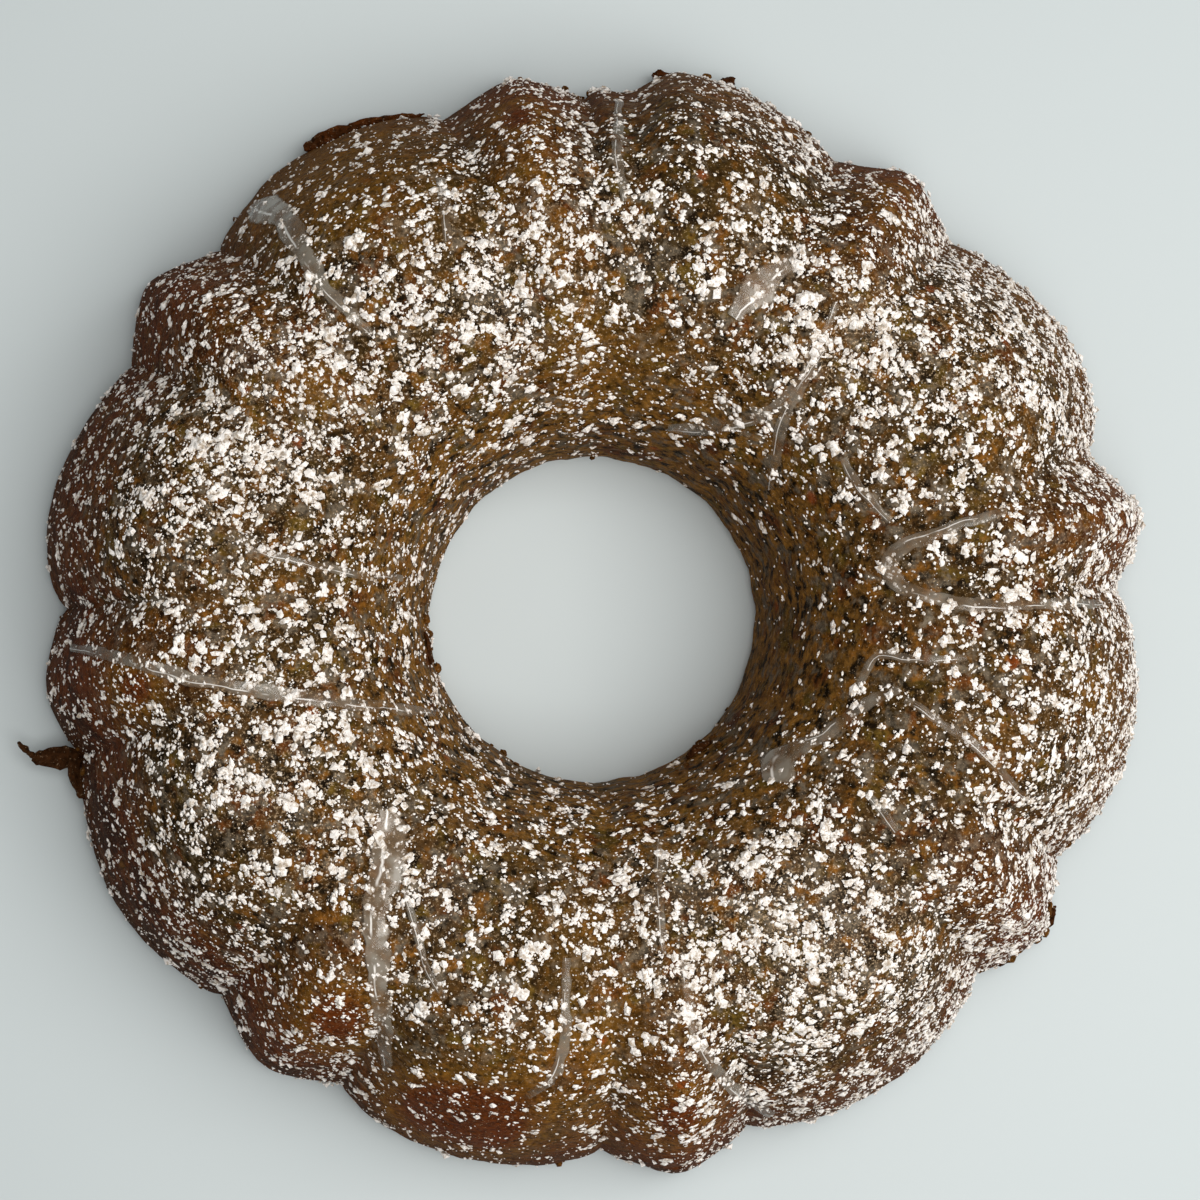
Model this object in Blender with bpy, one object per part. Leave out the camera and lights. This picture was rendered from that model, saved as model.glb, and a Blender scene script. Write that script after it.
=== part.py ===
"""Bundt cake: a ring cake turned out of a fluted ring pan, standing on its wide flat face.

The pan has eight broad round lobes and, between them, eight narrow pointed ridges. They run up the outer
wall, over the crown and down into the middle hole, where they have nearly died out. The cake is uneven: it
slumped a little in the pan, and no two lobes or ridges reach out equally far.

Units are metres and degrees. +Z is up, and the origin is under the middle of the cake, on the surface that
it stands on.
"""

import math

import bpy
from mathutils import Vector, noise

MM = 0.001

# Height of the crown between the flutes, and the ring's two walls at the foot, between the flutes.
CROWN_HEIGHT = 71 * MM
HOLE_RADIUS = 35.9 * MM
APEX_RADIUS = 74 * MM

# One entry for each narrow ridge, going round from +X towards +Y.
RIDGE_BEARINGS = (10.6, 54.8, 99.4, 144.0, 187.4, 233.4, 278.2, 324.3)
RIDGE_HEIGHTS = (9.4 * MM, 7.8 * MM, 7.0 * MM, 8.2 * MM, 5.6 * MM, 6.4 * MM, 7.6 * MM, 7.6 * MM)
FOOT_RADII = (116.0 * MM, 114.8 * MM, 115.8 * MM, 116.4 * MM, 117.0 * MM, 117.8 * MM, 118.0 * MM, 115.2 * MM)
# One entry for each broad lobe. A lobe lies between its ridge and the next one.
LOBE_HEIGHTS = (6.4 * MM, 7.6 * MM, 5.4 * MM, 6.0 * MM, 5.6 * MM, 5.7 * MM, 5.5 * MM, 6.2 * MM)
# How far a lobe's crest slumped towards the next ridge, as a share of half the lobe's width.
LOBE_SKEWS = (-0.2, 0.3, 0.0, 0.2, 0.1, 0.0, 0.0, 0.0)
# Where a piece of the outer wall stayed behind in the pan: bearing, half width in degrees, and depth.
DENTS = ((86.6, 5.0, 4.2 * MM),)
HOLE_SHIFT = Vector((-1.0 * MM, -0.7 * MM, 0))  # how far the hole lies off the middle of the outline

RIDGE_HALF_WIDTH = 8.0  # degrees either side of a ridge's crest
# Above 1 a ridge's flanks are hollow, below 1 they bulge.
RIDGE_SHARPNESSES = (1.25, 1.15, 1.1, 1.0, 0.7, 0.9, 0.9, 0.95)
LOBE_FULLNESS = 0.75  # 0.5 is a half ellipse, 1 a parabola

# The cross-section is a superellipse whose two walls lean in.
SECTION_POWER = 2.7
OUTER_LEAN = 15 * MM  # how far the outer wall leans in, from foot to crown
INNER_LEAN = 2.5 * MM
FOOT_ROUNDING = 1.8 * MM
FOOT_ROUNDING_HEIGHT = 5 * MM

# The part of a flute's height that is left at the outer foot, outer shoulder, crown, inner shoulder and inner
# foot.
FLUTE_FADE = (1.0, 0.93, 0.32, 0.13, 0.06)

# The slumped, lumpy surface.
LUMP_HEIGHT = 0.9 * MM
LUMP_SIZE = 26 * MM

# Mesh density. Stations fall on every crest and valley, so that those lines stay crisp.
RIDGE_STATIONS = 10
LOBE_STATIONS = 12
ARCH_STEPS = 24
BASE_STEPS = 5
SLOPE_STEP = 0.01  # in turn, the reach over which the section's slope is read
SHARP_ANGLE = 60

CRUST_COLOUR = (0.171, 0.068, 0.013, 1.0)
CRUST_ROUGHNESS = 0.62


def clear_scene():
    for thing in list(bpy.data.objects):
        bpy.data.objects.remove(thing, do_unlink=True)


def ease(share):
    """A smooth 0 to 1 as share goes from 0 to 1."""
    return share * share * (3 - 2 * share)


def blend_along(values, share):
    """The value at share (0 to 1) of the way along a row of evenly spaced values, smoothly joined."""
    place = min(max(share, 0.0), 1.0) * (len(values) - 1)
    step = min(int(place), len(values) - 2)
    return values[step] + (values[step + 1] - values[step]) * ease(place - step)


def dent(bearing):
    """How much of the outer wall is missing at a bearing."""
    return sum(depth * ease(max(0.0, 1 - abs(bearing - middle) / reach)) for middle, reach, depth in DENTS)


def stations():
    """Every bearing where the mesh has a section, as (bearing, ridge number, flute height at the foot)."""
    found = []
    count = len(RIDGE_BEARINGS)
    for number, crest in enumerate(RIDGE_BEARINGS):
        for step in range(RIDGE_STATIONS):
            offset = 2 * step / RIDGE_STATIONS - 1
            height = RIDGE_HEIGHTS[number] * (1 - abs(offset)) ** RIDGE_SHARPNESSES[number]
            bearing = crest + offset * RIDGE_HALF_WIDTH
            found.append((bearing, number, height - dent(bearing)))
        following = RIDGE_BEARINGS[(number + 1) % count] + (360 if number + 1 == count else 0)
        begin = crest + RIDGE_HALF_WIDTH
        width = following - RIDGE_HALF_WIDTH - begin
        for step in range(LOBE_STATIONS):
            offset = 2 * step / LOBE_STATIONS - 1
            skewed = offset - LOBE_SKEWS[number] * (1 - offset * offset)
            height = LOBE_HEIGHTS[number] * (1 - skewed * skewed) ** LOBE_FULLNESS
            bearing = begin + width * step / LOBE_STATIONS
            found.append((bearing, number, height - dent(bearing)))
    return found


def foot_radius(bearing, number):
    """The outer foot's radius between the flutes, eased from one ridge's value to the next one's."""
    count = len(RIDGE_BEARINGS)
    crest = RIDGE_BEARINGS[number]
    if bearing < crest:
        number, crest = (number - 1) % count, RIDGE_BEARINGS[number - 1]
    span = (RIDGE_BEARINGS[(number + 1) % count] - crest) % 360
    share = ((bearing - crest) % 360) / span
    return FOOT_RADII[number] + (FOOT_RADII[(number + 1) % count] - FOOT_RADII[number]) * ease(share)


def arch_point(turn, outer_foot):
    """(radius, height) on the section between the flutes. turn goes from 0 at the outer foot to pi inside."""
    across = math.copysign(abs(math.cos(turn)) ** (2 / SECTION_POWER), math.cos(turn))
    rise = abs(math.sin(turn)) ** (2 / SECTION_POWER)
    if across >= 0:
        radius = APEX_RADIUS + across * (outer_foot - APEX_RADIUS - OUTER_LEAN * rise)
    else:
        radius = APEX_RADIUS + across * (APEX_RADIUS - HOLE_RADIUS - INNER_LEAN * rise)
    return radius, CROWN_HEIGHT * rise


def section_point(turn, outer_foot, flute_height):
    """(radius, height) on the section, its flute added square to the surface and its foot rounded under."""
    radius, height = arch_point(turn, outer_foot)
    before = arch_point(max(turn - SLOPE_STEP, 0.0), outer_foot)
    after = arch_point(min(turn + SLOPE_STEP, math.pi), outer_foot)
    along = Vector((after[0] - before[0], after[1] - before[1])).normalized()
    lift = flute_height * blend_along(FLUTE_FADE, turn / math.pi)
    radius, height = radius + along.y * lift, height - along.x * lift
    under = max(0.0, 1 - height / FOOT_ROUNDING_HEIGHT) ** 2 * FOOT_ROUNDING
    return radius - math.copysign(under, math.cos(turn)), max(height, 0.0)


def lumps(place):
    """How far the slumped surface stands out at a point."""
    return LUMP_HEIGHT * noise.noise(place / LUMP_SIZE)


def cake_point(station, share):
    """A point on the cake. share runs once round the section: up the outer wall, over, down and back."""
    bearing, number, flute_height = station
    outer_foot = foot_radius(bearing, number)
    arch_share = ARCH_STEPS / (ARCH_STEPS + BASE_STEPS)
    if share <= arch_share:
        radius, height = section_point(math.pi * share / arch_share, outer_foot, flute_height)
    else:
        back = (share - arch_share) / (1 - arch_share)
        inner, _ = section_point(math.pi, outer_foot, flute_height)
        outer, _ = section_point(0.0, outer_foot, flute_height)
        radius, height = inner + (outer - inner) * back, 0.0
    turned = math.radians(bearing)
    outward = Vector((math.cos(turned), math.sin(turned), 0))
    place = outward * radius + Vector((0, 0, height))
    near_hole = (max(FOOT_RADII) - radius) / (max(FOOT_RADII) - HOLE_RADIUS)
    place += HOLE_SHIFT * min(max(near_hole, 0.0), 1.0)
    fade = ease(min(height / FOOT_ROUNDING_HEIGHT, 1.0))
    middle = outward * APEX_RADIUS + Vector((0, 0, CROWN_HEIGHT / 3))
    return place + (place - middle).normalized() * lumps(place) * fade


def centre_on_base(mesh):
    """Moves the mesh so that the origin is under the middle of its box."""
    for axis in (0, 1):
        reach = [vertex.co[axis] for vertex in mesh.vertices]
        middle = (min(reach) + max(reach)) / 2
        for vertex in mesh.vertices:
            vertex.co[axis] -= middle


def crust_material():
    material = bpy.data.materials.new("golden_brown_crust")
    material.use_nodes = True
    shader = material.node_tree.nodes["Principled BSDF"]
    shader.inputs["Base Color"].default_value = CRUST_COLOUR
    shader.inputs["Roughness"].default_value = CRUST_ROUGHNESS
    shader.inputs["Metallic"].default_value = 0.0
    return material


def make_cake(collection):
    """A torus whose rings are moved to the cake's stations, its sections shaped to the fluted arch."""
    rings = stations()
    steps = ARCH_STEPS + BASE_STEPS
    bpy.ops.mesh.primitive_torus_add(major_segments=len(rings), minor_segments=steps,
                                     major_radius=2, minor_radius=1)
    cake = bpy.context.active_object
    cake.name = "cake"
    for vertex in cake.data.vertices:
        x, y, z = vertex.co
        ring = round(math.atan2(y, x) % math.tau / math.tau * len(rings)) % len(rings)
        step = round(math.atan2(z, math.hypot(x, y) - 2) % math.tau / math.tau * steps) % steps
        vertex.co = cake_point(rings[ring], step / steps)
    centre_on_base(cake.data)
    cake.data.shade_smooth()
    cake.data.set_sharp_from_angle(angle=math.radians(SHARP_ANGLE))
    cake.data.materials.append(crust_material())
    for home in list(cake.users_collection):
        home.objects.unlink(cake)
    collection.objects.link(cake)


def main():
    clear_scene()
    collection = bpy.data.collections.new("bundt_cake")
    bpy.context.scene.collection.children.link(collection)
    make_cake(collection)


main()
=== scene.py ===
"""Bundt cake: the visual model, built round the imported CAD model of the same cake.

A ring cake turned out of a fluted pan, with its browned crust, sifted icing sugar, a few runs of dried sugar
glaze, and the torn flakes and crumbs at its foot. Units are metres and degrees. +Z is up, and the origin is
under the middle of the cake, on the surface it stands on.
"""

import math

import bmesh
import bpy
import numpy as np
from mathutils import Matrix, Vector


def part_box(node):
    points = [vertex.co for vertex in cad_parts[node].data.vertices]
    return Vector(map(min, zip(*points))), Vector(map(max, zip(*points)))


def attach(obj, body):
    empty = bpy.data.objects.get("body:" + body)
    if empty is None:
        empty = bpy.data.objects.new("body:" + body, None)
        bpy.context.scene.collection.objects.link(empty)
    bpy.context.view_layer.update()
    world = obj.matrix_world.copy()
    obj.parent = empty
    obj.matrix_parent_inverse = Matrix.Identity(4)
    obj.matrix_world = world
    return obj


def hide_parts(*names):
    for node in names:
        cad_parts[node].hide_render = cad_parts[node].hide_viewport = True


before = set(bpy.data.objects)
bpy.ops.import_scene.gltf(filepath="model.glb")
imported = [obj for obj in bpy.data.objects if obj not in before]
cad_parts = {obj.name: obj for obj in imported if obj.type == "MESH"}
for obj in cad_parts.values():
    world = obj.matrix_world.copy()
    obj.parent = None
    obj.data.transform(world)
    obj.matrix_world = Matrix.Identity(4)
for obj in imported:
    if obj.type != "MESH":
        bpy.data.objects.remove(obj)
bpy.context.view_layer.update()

MM = 0.001

# ---- The pan's shape, as in the CAD model ----

CROWN_HEIGHT = 71 * MM
HOLE_RADIUS = 35.9 * MM
APEX_RADIUS = 74 * MM

# One entry for each narrow ridge, going round from +X towards +Y.
RIDGE_BEARINGS = (10.6, 54.8, 99.4, 144.0, 187.4, 233.4, 278.2, 324.3)
RIDGE_HEIGHTS = (9.4 * MM, 7.8 * MM, 7.0 * MM, 8.2 * MM, 5.6 * MM, 6.4 * MM, 7.6 * MM, 7.6 * MM)
FOOT_RADII = (116.0 * MM, 114.8 * MM, 115.8 * MM, 116.4 * MM, 117.0 * MM, 117.8 * MM, 118.0 * MM, 115.2 * MM)
# One entry for each broad lobe. A lobe lies between its ridge and the next one.
LOBE_HEIGHTS = (6.4 * MM, 7.6 * MM, 5.4 * MM, 6.0 * MM, 5.6 * MM, 5.7 * MM, 5.5 * MM, 6.2 * MM)
# How far a lobe's crest slumped towards the next ridge, as a share of half the lobe's width.
LOBE_SKEWS = (-0.2, 0.3, 0.0, 0.2, 0.1, 0.0, 0.0, 0.0)
# Where a piece of the outer wall stayed behind in the pan: bearing, half width in degrees, and depth.
DENTS = ((86.6, 5.0, 4.2 * MM),)
HOLE_SHIFT = (-1.0 * MM, -0.7 * MM, 0.0)  # how far the hole lies off the middle of the outline
# How dark each ridge and each lobe baked on its outer wall, from 0 to 1.
RIDGE_BROWNING = (0.4, 0.5, 0.5, 0.7, 0.75, 0.75, 0.65, 0.5)
LOBE_BROWNING = (0.1, 0.2, 0.1, 0.7, 1.05, 0.62, 0.35, 0.15)

RIDGE_HALF_WIDTH = 8.0  # degrees either side of a ridge's crest
# Above 1 a ridge's flanks are hollow, below 1 they bulge.
RIDGE_SHARPNESSES = (1.25, 1.15, 1.1, 1.0, 0.7, 0.9, 0.9, 0.95)
CREST_SOFTNESS = 0.14  # share of the half width over which a crest is rounded off
LOBE_FULLNESS = 0.75  # 0.5 is a half ellipse, 1 a parabola

# The cross-section is a superellipse whose two walls lean in.
SECTION_POWER = 2.7
OUTER_LEAN = 15 * MM
INNER_LEAN = 2.5 * MM
FOOT_ROUNDING = 1.8 * MM
FOOT_ROUNDING_HEIGHT = 5 * MM
# The part of a flute's height that is left at the outer foot, outer shoulder, crown, inner shoulder and
# inner foot.
FLUTE_FADE = (1.0, 0.93, 0.32, 0.13, 0.06)

RIDGE_STATIONS = 22
LOBE_STATIONS = 48
ARCH_STEPS = 170
BASE_STEPS = 6
SLOPE_STEP = 0.01  # in turn, the reach over which the section's slope is read


# ---- Nodes and meshes ----

MATH = "ShaderNodeMath"
VECTOR_MATH = "ShaderNodeVectorMath"
MAP_RANGE = "ShaderNodeMapRange"
NOISE = "ShaderNodeTexNoise"


def linear(hex_colour):
    """The linear colour of an sRGB hex value such as '#8a5f22'."""
    channels = [int(hex_colour[place:place + 2], 16) / 255 for place in (1, 3, 5)]
    return tuple(c / 12.92 if c <= 0.04045 else ((c + 0.055) / 1.055) ** 2.4 for c in channels) + (1.0,)


def add(tree, kind, *values, inputs=None, **settings):
    """Adds a node with its settings and links.

    Its open sockets take values in order, and inputs sets sockets by name. A value is a plain value, a
    socket, or a node, whose first open output is linked. None leaves a socket as it is.
    """
    made = tree.nodes.new(kind)
    for name, setting in settings.items():
        setattr(made, name, setting)
    open_sockets = [socket for socket in made.inputs if socket.enabled]
    pairs = list(zip(open_sockets, values))
    for name, value in (inputs or {}).items():
        pairs.append((next(socket for socket in open_sockets if socket.name == name), value))
    for socket, value in pairs:
        if isinstance(value, bpy.types.Node):
            value = next(output for output in value.outputs if output.enabled)
        if isinstance(value, bpy.types.NodeSocket):
            tree.links.new(value, socket)
        elif value is not None:
            socket.default_value = value
    return made


def new_tree(name, sizes):
    """A Geometry Nodes tree with a geometry input and output, and a named input for each entry of sizes."""
    kinds = {float: "NodeSocketFloat", int: "NodeSocketInt", str: "NodeSocketString",
             bpy.types.Object: "NodeSocketObject", bpy.types.Material: "NodeSocketMaterial"}
    tree = bpy.data.node_groups.new(name, "GeometryNodeTree")
    tree.interface.new_socket("Geometry", in_out="INPUT", socket_type="NodeSocketGeometry")
    for label, kind in sizes.items():
        tree.interface.new_socket(label, in_out="INPUT", socket_type=kinds[kind])
    tree.interface.new_socket("Geometry", in_out="OUTPUT", socket_type="NodeSocketGeometry")
    return tree, tree.nodes.new("NodeGroupInput").outputs


def end_tree(tree, geometry, material):
    """Ends a Geometry Nodes tree in real geometry of one material."""
    real = add(tree, "GeometryNodeRealizeInstances", geometry)
    coated = add(tree, "GeometryNodeSetMaterial", real, None, material)
    add(tree, "NodeGroupOutput", coated)
    return tree


def grown(name, start, tree, sizes, material, kept=()):
    """A new object whose plain mesh is what a Geometry Nodes tree makes of the start mesh at those sizes.

    It has the one material, and of the float attributes only the kept ones.
    """
    piece = bpy.data.objects.new(name, start)
    bpy.context.scene.collection.objects.link(piece)
    modifier = piece.modifiers.new(tree.name, "NODES")
    modifier.node_group = tree
    for socket in tree.interface.items_tree:
        if socket.in_out == "INPUT" and socket.name in sizes:
            modifier[socket.identifier] = sizes[socket.name]
        elif socket.in_out == "INPUT" and socket.name == "Material":
            modifier[socket.identifier] = material
    depsgraph = bpy.context.evaluated_depsgraph_get()
    mesh = bpy.data.meshes.new_from_object(piece.evaluated_get(depsgraph), depsgraph=depsgraph)
    piece.modifiers.clear()
    piece.data = mesh
    mesh.name = name
    for label in [a.name for a in mesh.attributes if a.data_type == "FLOAT" and a.name not in kept]:
        mesh.attributes.remove(mesh.attributes[label])
    mesh.materials.clear()
    mesh.materials.append(material)
    mesh.polygons.foreach_set("material_index", [0] * len(mesh.polygons))
    return piece


def points_of(mesh):
    """The mesh's points, as rows of x, y and z."""
    places = np.empty(len(mesh.vertices) * 3, np.float32)
    mesh.vertices.foreach_get("co", places)
    return places.reshape(-1, 3)


def store(mesh, label, numbers):
    """Puts a number on each point of a mesh."""
    mesh.attributes.new(label, "FLOAT", "POINT").data.foreach_set("value", numbers)


def edge_loop(name, columns):
    """A mesh of one closed loop of edges, with the named columns of numbers on its points."""
    count = len(next(iter(columns.values())))
    mesh = bpy.data.meshes.new(name)
    circle = [(math.cos(math.tau * n / count), math.sin(math.tau * n / count), 0) for n in range(count)]
    mesh.from_pydata(circle, [(n, (n + 1) % count) for n in range(count)], [])
    for label, numbers in columns.items():
        store(mesh, label, numbers)
    return mesh


# ---- The cake ----

def ease(share):
    """A smooth 0 to 1 as share goes from 0 to 1."""
    return share * share * (3 - 2 * share)


def blend_along(values, share):
    """The value at share (0 to 1) of the way along a row of evenly spaced values, smoothly joined."""
    place = min(max(share, 0.0), 1.0) * (len(values) - 1)
    step = min(int(place), len(values) - 2)
    return values[step] + (values[step + 1] - values[step]) * ease(place - step)


def foot_radius(bearing, number):
    """The outer foot's radius between the flutes, eased from one ridge's value to the next one's."""
    count = len(RIDGE_BEARINGS)
    crest = RIDGE_BEARINGS[number]
    if bearing < crest:
        number, crest = (number - 1) % count, RIDGE_BEARINGS[number - 1]
    span = (RIDGE_BEARINGS[(number + 1) % count] - crest) % 360
    share = ((bearing - crest) % 360) / span
    return FOOT_RADII[number] + (FOOT_RADII[(number + 1) % count] - FOOT_RADII[number]) * ease(share)


def dent(bearing):
    """How much of the outer wall is missing at a bearing."""
    return sum(depth * ease(max(0.0, 1 - abs(bearing - middle) / reach)) for middle, reach, depth in DENTS)


def edge_browning(ridge, lobe):
    """How dark the wall baked where a ridge meets a lobe."""
    return (RIDGE_BROWNING[ridge] + LOBE_BROWNING[lobe]) / 2


def pan_plan():
    """The pan from above: a loop with each station's bearing, foot radius, flute height and browning."""
    rows = []
    count = len(RIDGE_BEARINGS)
    for number, crest in enumerate(RIDGE_BEARINGS):
        for step in range(RIDGE_STATIONS):
            offset = 2 * step / RIDGE_STATIONS - 1
            off_crest = math.hypot(offset, CREST_SOFTNESS * (1 - abs(offset)))
            rise = max(0.0, 1 - off_crest) ** RIDGE_SHARPNESSES[number]
            edge = edge_browning(number, number if offset > 0 else number - 1)
            browning = edge + (RIDGE_BROWNING[number] - edge) * ease(1 - abs(offset))
            bearing = crest + offset * RIDGE_HALF_WIDTH
            rows.append((bearing, number, RIDGE_HEIGHTS[number] * rise, rise, browning))
        following = RIDGE_BEARINGS[(number + 1) % count] + (360 if number + 1 == count else 0)
        begin = crest + RIDGE_HALF_WIDTH
        width = following - RIDGE_HALF_WIDTH - begin
        for step in range(LOBE_STATIONS):
            offset = 2 * step / LOBE_STATIONS - 1
            skewed = offset - LOBE_SKEWS[number] * (1 - offset * offset)
            rise = (1 - skewed * skewed) ** LOBE_FULLNESS
            edge = edge_browning(number if offset < 0 else (number + 1) % count, number)
            browning = LOBE_BROWNING[number] + (edge - LOBE_BROWNING[number]) * abs(offset) ** 3
            bearing = begin + width * step / LOBE_STATIONS
            rows.append((bearing, number, LOBE_HEIGHTS[number] * rise, 0.0, browning))
    bearings, numbers, flutes, ridges, brownings = zip(*rows)
    flutes = [flute - dent(bearing) for flute, bearing in zip(flutes, bearings)]
    feet = [foot_radius(bearing, number) for bearing, number in zip(bearings, numbers)]
    turned = [math.radians(bearing) for bearing in bearings]
    return edge_loop("pan_plan", {"bearing": turned, "foot": feet, "flute": flutes, "ridge": ridges,
                                  "wall_browning": brownings})


def arch_point(turn, outer_foot):
    """(radius, height) on the section between the flutes, at a turn from 0 outside to pi inside."""
    across = math.copysign(abs(math.cos(turn)) ** (2 / SECTION_POWER), math.cos(turn))
    rise = abs(math.sin(turn)) ** (2 / SECTION_POWER)
    if across >= 0:
        radius = APEX_RADIUS + across * (outer_foot - APEX_RADIUS - OUTER_LEAN * rise)
    else:
        radius = APEX_RADIUS + across * (APEX_RADIUS - HOLE_RADIUS - INNER_LEAN * rise)
    return radius, CROWN_HEIGHT * rise


def even_turns(outer_foot):
    """Turns from the outer foot to the inner one that are evenly spaced along the arch."""
    fine = np.linspace(0, math.pi, 40 * ARCH_STEPS)
    points = np.array([arch_point(turn, outer_foot) for turn in fine])
    steps = np.hypot(*np.diff(points, axis=0).T)
    along = np.concatenate(([0], np.cumsum(steps)))
    return np.interp(np.linspace(0, along[-1], ARCH_STEPS), along, fine)


def pan_section():
    """The ring's section: a loop up the outer wall, over the crown, down the hole and back underneath.

    A point's radius is its own radius, plus its foot share of the outer foot's radius, plus the flute's
    height times flute_out. Its height gains the flute's height times flute_up.
    """
    foot = sum(FOOT_RADII) / len(FOOT_RADII)
    rows = []
    for turn in even_turns(foot):
        radius, height = arch_point(turn, foot)
        foot_share = max(0.0, math.copysign(abs(math.cos(turn)) ** (2 / SECTION_POWER), math.cos(turn)))
        before = arch_point(max(turn - SLOPE_STEP, 0.0), foot)
        after = arch_point(min(turn + SLOPE_STEP, math.pi), foot)
        along = Vector((after[0] - before[0], after[1] - before[1])).normalized()
        fade = blend_along(FLUTE_FADE, turn / math.pi)
        rounding = math.copysign(FOOT_ROUNDING, math.cos(turn))
        under = max(0.0, 1 - height / FOOT_ROUNDING_HEIGHT) ** 2 * rounding
        rows.append((radius - under - foot_share * foot, foot_share, height, along.y * fade, -along.x * fade,
                     turn / math.pi))
    outer, inner = rows[0], rows[-1]
    for step in range(1, BASE_STEPS):
        back = step / BASE_STEPS
        radius, foot_share, _, flute_out = [i + (o - i) * back for o, i in zip(outer[:4], inner[:4])]
        rows.append((radius, foot_share, 0.0, flute_out, 0.0, -1.0))
    labels = ("own_radius", "foot_share", "height", "flute_out", "flute_up", "section_turn")
    return edge_loop("pan_section", dict(zip(labels, zip(*rows))))


def crumb_relief(tree, sizes, shape):
    """How far the baked surface stands out from the pan's shape, as a field, in metres."""
    place = add(tree, "GeometryNodeInputPosition")
    total = None
    for label, detail in (("Slump", 0.0), ("Lump", 1.0), ("Crumb", 2.0)):
        scale = add(tree, MATH, 1.0, sizes[label + " Size"], operation="DIVIDE")
        wave = add(tree, NOISE, place, scale, detail, 0.6)
        centred = add(tree, MATH, wave, 0.5, operation="SUBTRACT")
        height = add(tree, MATH, centred, sizes[label + " Height"], operation="MULTIPLY")
        total = height if total is None else add(tree, MATH, total, height, operation="ADD")
    scale = add(tree, MATH, 1.0, sizes["Pit Spacing"], operation="DIVIDE")
    cells = add(tree, "ShaderNodeTexVoronoi", place, scale)
    hollow = add(tree, MAP_RANGE, cells, 0.0, 0.3, 1.0, 0.0, interpolation_type="SMOOTHSTEP")
    some = add(tree, MATH, cells.outputs["Color"], 0.62, operation="GREATER_THAN")
    depth = add(tree, MATH, hollow, some, operation="MULTIPLY")
    pit = add(tree, MATH, depth, sizes["Pit Depth"], operation="MULTIPLY")
    return add(tree, MATH, total, pit, operation="SUBTRACT")


def ring_tree():
    """Sweeps the pan's section round its plan and lays the baked surface's relief on it."""
    heights = {label + part: float for label in ("Slump", "Lump", "Crumb") for part in (" Height", " Size")}
    tree, sizes = new_tree("fluted_ring", {
        "Section": bpy.types.Object, **heights, "Pit Spacing": float, "Pit Depth": float, "Foot Tear": float,
        "Material": bpy.types.Material})
    plan = add(tree, "GeometryNodeMeshToCurve", sizes["Geometry"])
    section_object = add(tree, "GeometryNodeObjectInfo", sizes["Section"])
    section = add(tree, "GeometryNodeMeshToCurve", section_object.outputs["Geometry"])
    swept = add(tree, "GeometryNodeFlipFaces", add(tree, "GeometryNodeCurveToMesh", plan, section))
    labels = ("bearing", "foot", "flute", "own_radius", "foot_share", "height", "flute_out", "flute_up")
    bearing, foot, flute, own_radius, foot_share, own_height, flute_out, flute_up = [
        add(tree, "GeometryNodeInputNamedAttribute", label, data_type="FLOAT") for label in labels]
    radius = add(tree, MATH, foot, foot_share, own_radius, operation="MULTIPLY_ADD")
    radius = add(tree, MATH, flute, flute_out, radius, operation="MULTIPLY_ADD")
    height = add(tree, MATH, flute, flute_up, own_height, operation="MULTIPLY_ADD")
    cosine = add(tree, MATH, bearing, operation="COSINE")
    sine = add(tree, MATH, bearing, operation="SINE")
    outward = add(tree, "ShaderNodeCombineXYZ", cosine, sine, 0.0)
    level = add(tree, VECTOR_MATH, outward, inputs={"Scale": radius}, operation="SCALE")
    up = add(tree, "ShaderNodeCombineXYZ", 0.0, 0.0, height)
    place = add(tree, VECTOR_MATH, level, up, operation="ADD")
    near_hole = add(tree, MAP_RANGE, radius, HOLE_RADIUS, max(FOOT_RADII), 1.0, 0.0)
    aside = add(tree, VECTOR_MATH, HOLE_SHIFT, inputs={"Scale": near_hole}, operation="SCALE")
    place = add(tree, VECTOR_MATH, place, aside, operation="ADD")
    shaped = add(tree, "GeometryNodeSetPosition", swept, None, place)
    smooth = add(tree, "GeometryNodeSetShadeSmooth", shaped, None, True)
    # The relief dies out at the foot, which was pressed flat. There the edge is torn in and out instead.
    clear = add(tree, MAP_RANGE, height, 0.0, FOOT_ROUNDING_HEIGHT, 0.0, 1.0)
    relief = add(tree, MATH, crumb_relief(tree, sizes, smooth), clear, operation="MULTIPLY")
    normal = add(tree, "GeometryNodeInputNormal")
    lift = add(tree, VECTOR_MATH, normal, inputs={"Scale": relief}, operation="SCALE")
    position = add(tree, "GeometryNodeInputPosition")
    tear = add(tree, NOISE, position, 1 / (4 * MM), 3.0, 0.7)
    tear = add(tree, MATH, tear, 0.5, operation="SUBTRACT")
    tear = add(tree, MATH, tear, sizes["Foot Tear"], operation="MULTIPLY")
    low = add(tree, MATH, 1.0, clear, operation="SUBTRACT")
    tear = add(tree, MATH, tear, low, operation="MULTIPLY")
    shift = add(tree, VECTOR_MATH, outward, inputs={"Scale": tear}, operation="SCALE")
    both = add(tree, VECTOR_MATH, lift, shift, operation="ADD")
    rough = add(tree, "GeometryNodeSetPosition", smooth, None, None, both)
    return end_tree(tree, rough, sizes["Material"])


def fit_to_box(mesh, low, high):
    """Stretches a mesh by the last fraction of a millimetre, so that its box is the CAD solid's box."""
    places = points_of(mesh)
    bottom, top = places.min(axis=0), places.max(axis=0)
    places = np.array(low) + (places - bottom) / (top - bottom) * (np.array(high) - np.array(low))
    mesh.vertices.foreach_set("co", places.astype(np.float32).ravel())
    mesh.update()


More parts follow.
